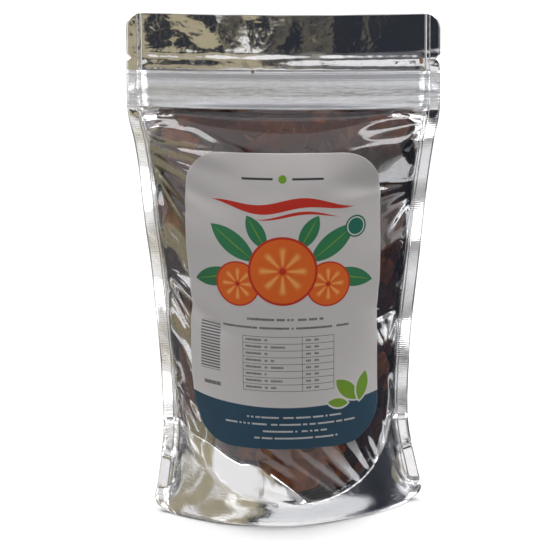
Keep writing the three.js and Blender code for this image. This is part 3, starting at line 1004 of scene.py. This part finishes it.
def make_crumbs(material):
    """Three crumbs of fruit caught at the zip, under the front film."""
    bm = bmesh.new()
    for k, (across, up, radius) in enumerate(((-12.6, 194.6, 0.62), (4.6, 183.2, 0.55), (57.2, 199.4, 0.5))):
        middle = wall_point(FRONT, across, up, film_out(across, up) - radius) * MM
        made = bmesh.ops.create_icosphere(bm, subdivisions=3, radius=1)
        for vert in made["verts"]:
            lump = 1 + 0.35 * noise.noise(vert.co * 1.7 + Vector((k * 5.0, 0, 0)))
            shape = Vector((vert.co.x * 1.35, vert.co.y * 0.8, vert.co.z * 0.9))
            vert.co = middle + shape * lump * radius * MM
    shape_slice(bm, 0.0, 0.0)
    return finish_piece(new_mesh_object("crumbs", bm), material, "dried_fruit")


def zip_half(name, side, material, node):
    """A zip strip: a flange, and the profiles that press together, drawn out along the width."""
    flange = 0.2
    face = 0.62
    if side == FRONT:
        outline = [(-face - flange, 0.1), (-face, 0.1), (-face, 6.6), (0.1, 6.7), (0.1, 6.3), (0.3, 6.3),
                   (0.5, 6.8), (0.5, 7.2), (0.3, 7.7), (0.1, 7.7), (0.1, 7.3), (-face, 7.4),
                   (-face, 13.9), (-face - flange, 13.9)]
    else:
        outline = [(face + flange, 0.1), (face + flange, 13.9), (face, 13.9), (face, 9.0), (-0.3, 9.0),
                   (-0.3, 7.9), (-0.1, 7.9), (-0.1, 8.6), (face, 8.6), (face, 5.4), (-0.1, 5.4),
                   (-0.1, 6.1), (-0.3, 6.1), (-0.3, 5.0), (face, 5.0), (face, 0.1)]
    end = SEAM - 2.4
    steps = 60
    bm = bmesh.new()
    start = [bm.verts.new((-end * MM, y * MM, (ZIP_LOW + z) * MM)) for y, z in outline]
    first = bm.faces.new(start)
    geom = [first]
    for _ in range(steps):
        made = bmesh.ops.extrude_face_region(bm, geom=geom)
        geom = [item for item in made["geom"] if isinstance(item, bmesh.types.BMFace)]
        moved = [item for item in made["geom"] if isinstance(item, bmesh.types.BMVert)]
        bmesh.ops.translate(bm, verts=moved, vec=(2 * end * MM / steps, 0, 0))
    inner = sorted(
        (face for face in bm.faces if len(face.verts) > 4), key=lambda face: face.calc_center_median().x)
    bmesh.ops.delete(bm, geom=inner[1:-1], context="FACES_ONLY")
    for vert in bm.verts:
        vert.co.y += panel_waves(vert.co.x / MM, vert.co.z / MM) * MM
    bmesh.ops.recalc_face_normals(bm, faces=bm.faces)
    thing = finish_piece(new_mesh_object(name, bm), material, "zip_plastic", node)
    thing.data.polygons.foreach_set("use_smooth", [False] * len(thing.data.polygons))
    return thing


def make_label(material):
    """The label, bent to the film that it is stuck on."""
    columns = np.linspace(-1, 1, 61)
    edge_rows = [0, 0.4, 1.2, 2.4, 4.0, 6.0, 8.5, 11.5, 15]
    tall = LABEL_HIGH - LABEL_LOW
    middle = np.linspace(17.5, tall - 17.5, 56)
    rows = [*edge_rows, *middle, *[tall - rise for rise in reversed(edge_rows)]]
    off_film = 0.32
    bm, places = new_grid(len(columns), len(rows))
    flat = {}
    for vert, column, row in places:
        up = LABEL_LOW + rows[row]
        inset = corner_inset(LABEL_BASE_CORNER, up - LABEL_LOW)
        inset += corner_inset(LABEL_TOP_CORNER, LABEL_HIGH - up)
        across = (LABEL_HALF - inset) * columns[column]
        vert.co = FILMS[FRONT].out_at(across, up, off_film) * MM
        flat[vert] = film_uv(across, up)
    write_map(bm, "flat", flat.get)
    for _ in range(3):
        bmesh.ops.smooth_vert(bm, verts=[v for v in bm.verts if not v.is_boundary], factor=0.5,
                              use_axis_x=False, use_axis_y=True, use_axis_z=False)
    thing = new_mesh_object("label_paper", bm)
    add_modifier(thing, "SUBSURF", levels=1, render_levels=1)
    add_modifier(thing, "SOLIDIFY", thickness=0.14 * MM, offset=1)
    apply_modifiers(thing)
    return finish_piece(thing, material, "label_paper", "label")


def pouch():
    return bpy.context.scene.pouch_sizes


def tones():
    return bpy.context.scene.pouch_colours


def tone_setting(name, description, default):
    return FloatVectorProperty(
        name=name, description=description, default=default, subtype="COLOR", size=3, min=0, max=1)


class PouchSizes(bpy.types.PropertyGroup):
    """Sizes that a user may change."""
    slack: FloatProperty(
        name="Slack", description="How much longer each film is than its bulge needs, as a factor",
        default=1.012, min=1.0, max=1.05)
    seed: IntProperty(name="Seed", description="Which draw of the fruit's shapes is used", default=7, min=0)


class PouchColours(bpy.types.PropertyGroup):
    """Colours that a user may change."""
    silver: tone_setting("Silver", "Metallised film", (0.86, 0.86, 0.87))
    # A painted reflection: the dark streaks that the foil behind the zip mirrors, laid into its colour.
    silver_painted_reflection_streaks: tone_setting("Silver streaks", "Painted dark reflection streaks of the film behind the zip", (0.36, 0.37, 0.41))
    silver_shade: tone_setting("Silver shade", "Cloudier patches of the metallised film", (0.78, 0.785, 0.8))
    film_sheen: tone_setting("Film sheen", "Reflection of the clear film", (0.97, 0.98, 1.0))
    zip_plastic: tone_setting("Zip", "Plastic of the zip's strips", (0.78, 0.79, 0.81))
    paper: tone_setting("Paper", "Bare paper of the label", (0.66, 0.635, 0.62))
    paper_shade: tone_setting("Paper shade", "Duller patches of the paper", (0.595, 0.57, 0.56))
    print_navy: tone_setting("Navy print", "Band at the label's foot", (0.018, 0.05, 0.082))
    print_ink: tone_setting("Dark print", "Lines and dashes", (0.03, 0.03, 0.035))
    print_red: tone_setting("Red print", "Swash and rims", (0.5, 0.035, 0.022))
    print_orange: tone_setting("Orange print", "Printed rounds", (0.75, 0.14, 0.025))
    print_flesh: tone_setting("Pale orange print", "Rays of the printed rounds", (0.92, 0.42, 0.12))
    print_green: tone_setting("Green print", "Printed leaves", (0.03, 0.16, 0.07))
    print_leaf: tone_setting("Leaf print", "Sprig and veins", (0.17, 0.32, 0.03))
    print_badge: tone_setting("Badge print", "The round spot", (0.012, 0.11, 0.075))
    rim: tone_setting("Fruit rim", "Paler edge of a slice", (0.42, 0.17, 0.07))
    floor: tone_setting("Floor", "The surface that the pouch stands on", (0.9, 0.9, 0.9))


FRUIT_TONES = (
    ((0.010, 0.004, 0.003), (0.040, 0.012, 0.007), (0.13, 0.040, 0.013)),
    ((0.014, 0.005, 0.004), (0.070, 0.020, 0.008), (0.24, 0.075, 0.020)),
    ((0.010, 0.005, 0.004), (0.034, 0.013, 0.009), (0.10, 0.038, 0.020)),
    ((0.040, 0.012, 0.006), (0.190, 0.052, 0.013), (0.42, 0.150, 0.040)),
)


class POUCH_OT_films(bpy.types.Operator):
    """Make the clear front film and the silver back film"""
    bl_idname = "pouch.films"
    bl_label = "Films"

    def execute(self, context):
        make_film("back_film_silver", BACK, silver_film(tones()), "silver_film", "back_film")
        make_film("front_film_clear", FRONT, clear_film(tones()), "clear_film", "front_film")
        return {"FINISHED"}


class POUCH_OT_gusset(bpy.types.Operator):
    """Make the folded bottom"""
    bl_idname = "pouch.gusset"
    bl_label = "Folded bottom"

    def execute(self, context):
        make_gusset(bpy.data.materials["silver film"])
        return {"FINISHED"}


class POUCH_OT_zip(bpy.types.Operator):
    """Make the two strips of the zip"""
    bl_idname = "pouch.zip"
    bl_label = "Zip"

    def execute(self, context):
        plastic = zip_plastic(tones())
        zip_half("zip_rib", FRONT, plastic, "zip_rib_strip")
        zip_half("zip_groove", BACK, plastic, "zip_groove_strip")
        return {"FINISHED"}


class POUCH_OT_label(bpy.types.Operator):
    """Make the label"""
    bl_idname = "pouch.label"
    bl_label = "Label"

    def execute(self, context):
        make_label(label_paper(tones()))
        return {"FINISHED"}


class POUCH_OT_fruit(bpy.types.Operator):
    """Make the dried slices, the smaller pieces between them and the crumbs at the zip"""
    bl_idname = "pouch.fruit"
    bl_label = "Fruit"

    def execute(self, context):
        tree = front_film_tree()
        rng = np.random.default_rng(pouch().seed)
        materials = [
            dried_fruit(f"dried fruit {k + 1}", tones(), tone, 13 * k) for k, tone in enumerate(FRUIT_TONES)]
        # The second weights favour the paler tones, as painted light for the pieces near the side seams.
        weights, paler_at_sides_for_light = (0.34, 0.3, 0.24, 0.12), (0.1, 0.35, 0.1, 0.45)
        for node in SLICES:
            thing = finer_slice(node, rng.uniform(0, 20), tree)
            finish_piece(thing, materials[rng.choice(4, p=weights)], "dried_fruit", node)
        count = 0
        for row, up in enumerate(np.arange(20, FILL_TOP + 1, 11.4)):
            for column in range(9):
                across = -52 + 13 * column + (3.5 if row % 2 else -3.5) + rng.uniform(-2.5, 2.5)
                edge = lerp(53, 44, smoothstep(up, 135, 165))
                across = max(-edge, min(edge, across))
                depth = (wall_point(FRONT, 0, up, 0) - wall_point(FRONT, across, up, 0)).length
                inset = max(1.6, 0.55 * (half_depth(up) - depth) * rng.uniform(0.2, 1))
                count += 1
                thing = loose_piece(
                    f"loose_piece_{count:03d}", (across, up + rng.uniform(-2, 2), min(inset, 9)),
                    rng.uniform(8.5, 11.5), rng.uniform(0.6, 1), rng.uniform(0, math.pi),
                    rng.uniform(0, 20), tree)
                # Near the side seams the pieces lean to the paler tones: painted light, standing in for light
                # that the fruit there lacks.
                likely = paler_at_sides_for_light if abs(across) > 42 else weights
                finish_piece(thing, materials[rng.choice(4, p=likely)], "dried_fruit")
        for across in np.arange(-42, 43, 6):
            count += 1
            thing = loose_piece(
                f"loose_piece_{count:03d}", (across, 174.8 + rng.uniform(-0.4, 0.4), 1.5),
                rng.uniform(7.2, 8.2), 0.58, rng.uniform(-0.1, 0.1), rng.uniform(0, 20), tree)
            finish_piece(thing, materials[0], "dried_fruit")
        make_crumbs(materials[-1])
        return {"FINISHED"}


def area_light(name, place, aim, size, power):
    lamp = bpy.data.lights.new(name, "AREA")
    lamp.shape = "RECTANGLE"
    lamp.size, lamp.size_y = size
    lamp.energy = power
    thing = new_object(name, lamp)
    thing.location = place
    thing.rotation_euler = (Vector(aim) - Vector(place)).to_track_quat("-Z", "Y").to_euler()
    thing.visible_glossy = False


def studio_world():
    """What the foil mirrors: soft boxes, a dark room and pale, tan and dark cards round the table."""
    world = bpy.data.worlds.new("studio")
    bpy.context.scene.world = world
    shader = Shader(world)
    direction = shader.node("ShaderNodeTexCoord", output=0)
    x, y, z = shader.parts(direction)
    around = x.math("ARCTAN2", y * -1) * math.degrees(1)
    height = z.math("ARCSINE") * math.degrees(1)
    wobble = (shader.grain(direction, 3.0, 2.0) - 0.5) * 30
    patch = shader.grain(direction, 9.0, 1.5, 0.4)
    around, height = around + wobble, height + (shader.grain(direction, 4.0, 2.0) - 0.5) * 14

    def lit(low, high, base, roof, soft=4):
        """A card between two directions in degrees round the pouch, and two above or below it."""
        wide = around.above(low, soft) * around.below(high, soft)
        return wide * height.above(base, soft) * height.below(roof, soft)

    dark, tan, white = (0.034, 0.038, 0.05, 1), (0.52, 0.465, 0.32, 1), (1.1, 1.1, 1.12, 1)
    bright, pale, dim = (1.6, 1.58, 1.5, 1), (1.25, 1.25, 1.26, 1), (0.15, 0.145, 0.15, 1)
    grey, ceiling = (0.52, 0.52, 0.53, 1), (0.5, 0.5, 0.52, 1)
    seen = shader.paint((0.42, 0.42, 0.43, 1), dark, patch.above(0.5, 0.1))

    def paint(tone, mask):
        nonlocal seen
        seen = shader.paint(seen, tone, mask)

    paint(white, lit(-66, -15, -45, 12))
    paint(grey, lit(18, 66, -58, 14, 8))
    paint(dark, lit(-17, 20, -28, 12))
    paint(tan, lit(-18, 0.5, -28, 6) * patch.below(0.6, 0.05))
    paint(white, lit(-6, 20, -14, 14) * patch.below(0.6, 0.05))
    paint(white, height.above(13, 8) * height.below(42, 10))
    paint(ceiling, height.above(42, 10))
    paint(pale, height.below(-28, 3) * lit(-13, 91, -90, 0, 3))
    paint(grey, lit(14, 74, -37, -26, 3))
    paint(grey, lit(20, 50, -45, 14, 6) * (1 - height.below(-37, 4)))
    for tone, low, high, base, roof in (
        (dark, -23, -13, -91, -37), (tan, -33, -23, -91, -37), (bright, -48, -33, -91, -33),
        (tan, -66, -48, -91, -30), (tan, -98, -66, -91, -4), (dim, -128, -98, -91, -4),
    ):
        paint(tone, lit(low, high, base, roof, 3))
    paint(white, lit(60, 128, -24, 14, 3) * patch.above(0.44, 0.1))
    paint(dark, lit(74, 128, -42, -22, 3))
    paint(dark, lit(58, 150, -42, -13, 3))
    paint(white, abs(around).above(130, 4) * height.below(-12, 4))
    paint((9, 9, 9, 1), lit(52, 125, 16, 66, 3))
    for low, high, base, roof in ((-112, -62, 24, 62), (26, 50, 7, 30), (-52, -26, 0, 22)):
        paint((7, 7, 7, 1), lit(low, high, base, roof, 3))
    paint((2.6, 2.6, 2.6, 1), lit(78, 122, -16, 10) * patch.above(0.53, 0.08))
    paint((1.8, 1.8, 1.8, 1), lit(-122, -80, -30, 20) * patch.above(0.58, 0.06))
    camera = shader.node("ShaderNodeLightPath")
    glossy = camera.beside("Is Glossy Ray")
    ambient = shader.paint((0.12, 0.12, 0.123, 1), seen, glossy)
    final = shader.paint(ambient, (1.0, 1.0, 1.0, 1), camera)
    shader.surface(shader.node("ShaderNodeBackground", None, [final, 1.0]))


class POUCH_OT_stage(bpy.types.Operator):
    """Make the floor, the lights and the camera"""
    bl_idname = "pouch.stage"
    bl_label = "Stage"

    def execute(self, context):
        scene = context.scene
        scene.view_settings.view_transform = "Standard"
        scene.cycles.transparent_max_bounces = 16
        scene.cycles.max_bounces = 10
        studio_world()
        bm = bmesh.new()
        bmesh.ops.create_grid(bm, x_segments=1, y_segments=1, size=1)
        near, far, wide = -0.085, 3.2, 2.4
        for vert in bm.verts:
            vert.co = (vert.co.x * wide, lerp(near, far, (vert.co.y + 1) / 2), -0.0003)
        floor = new_mesh_object("floor", bm)
        shader = new_shader("pale floor")
        floor.data.materials.append(shader.surface(shader.node(
            "ShaderNodeBsdfPrincipled", None, {"Base Color": colour(tones().floor), "Roughness": 0.7})))
        floor.visible_glossy = False
        area_light("overhead", (0, 0.1, 1.7), (0, 0, 0), (1.7, 1.5), 46)
        area_light("left_front", (-1.3, -1.1, 1.1), (0, 0, 0.1), (0.5, 0.9), 3.5)
        area_light("right_front", (1.2, -1.3, 0.9), (0, 0, 0.1), (0.35, 0.8), 3)
        camera_data = bpy.data.cameras.new("camera")
        camera = new_object("camera", camera_data)
        scene.camera = camera
        azimuth, elevation, roll = math.radians(1.6), math.radians(21.2), math.radians(-0.32)
        distance, target = 2.455, Vector((0, 0, 0.105))
        image, focal_pixels, middle = 540, 5851, (284.1, 275.1)
        back = Vector((math.sin(azimuth) * math.cos(elevation),
                       -math.cos(azimuth) * math.cos(elevation), math.sin(elevation)))
        turn = (-back).to_track_quat("-Z", "Y").to_matrix() @ Matrix.Rotation(roll, 3, "Z")
        right, up = turn.col[0], turn.col[1]
        scale = distance / focal_pixels
        aside = right * (image / 2 - middle[0]) * scale - up * (image / 2 - middle[1]) * scale
        camera.location = target + back * distance + aside
        camera.rotation_euler = turn.to_euler()
        camera_data.sensor_width = 36
        camera_data.lens = focal_pixels / image * 36
        camera_data.clip_start, camera_data.clip_end = 0.1, 20
        return {"FINISHED"}


class POUCH_PT_panel(bpy.types.Panel):
    """The pouch's steps and settings"""
    bl_label = "Pouch"
    bl_space_type = "VIEW_3D"
    bl_region_type = "UI"
    bl_category = "Pouch"

    def draw(self, context):
        column = self.layout.column()
        for operator in OPERATORS:
            column.operator(operator.bl_idname)
        for settings in (context.scene.pouch_sizes, context.scene.pouch_colours):
            for name in settings.__annotations__:
                column.prop(settings, name)


OPERATORS = (
    POUCH_OT_stage, POUCH_OT_films, POUCH_OT_gusset, POUCH_OT_zip, POUCH_OT_label, POUCH_OT_fruit,
)
CLASSES = (PouchSizes, PouchColours, *OPERATORS, POUCH_PT_panel)


def register():
    for cls in CLASSES:
        bpy.utils.register_class(cls)
    bpy.types.Scene.pouch_sizes = PointerProperty(type=PouchSizes)
    bpy.types.Scene.pouch_colours = PointerProperty(type=PouchColours)


def unregister():
    del bpy.types.Scene.pouch_colours
    del bpy.types.Scene.pouch_sizes
    for cls in reversed(CLASSES):
        bpy.utils.unregister_class(cls)


def main():
    register()
    bpy.ops.pouch.stage()
    bpy.ops.pouch.films()
    bpy.ops.pouch.gusset()
    bpy.ops.pouch.zip()
    bpy.ops.pouch.label()
    bpy.ops.pouch.fruit()


if __name__ == "__main__":
    main()
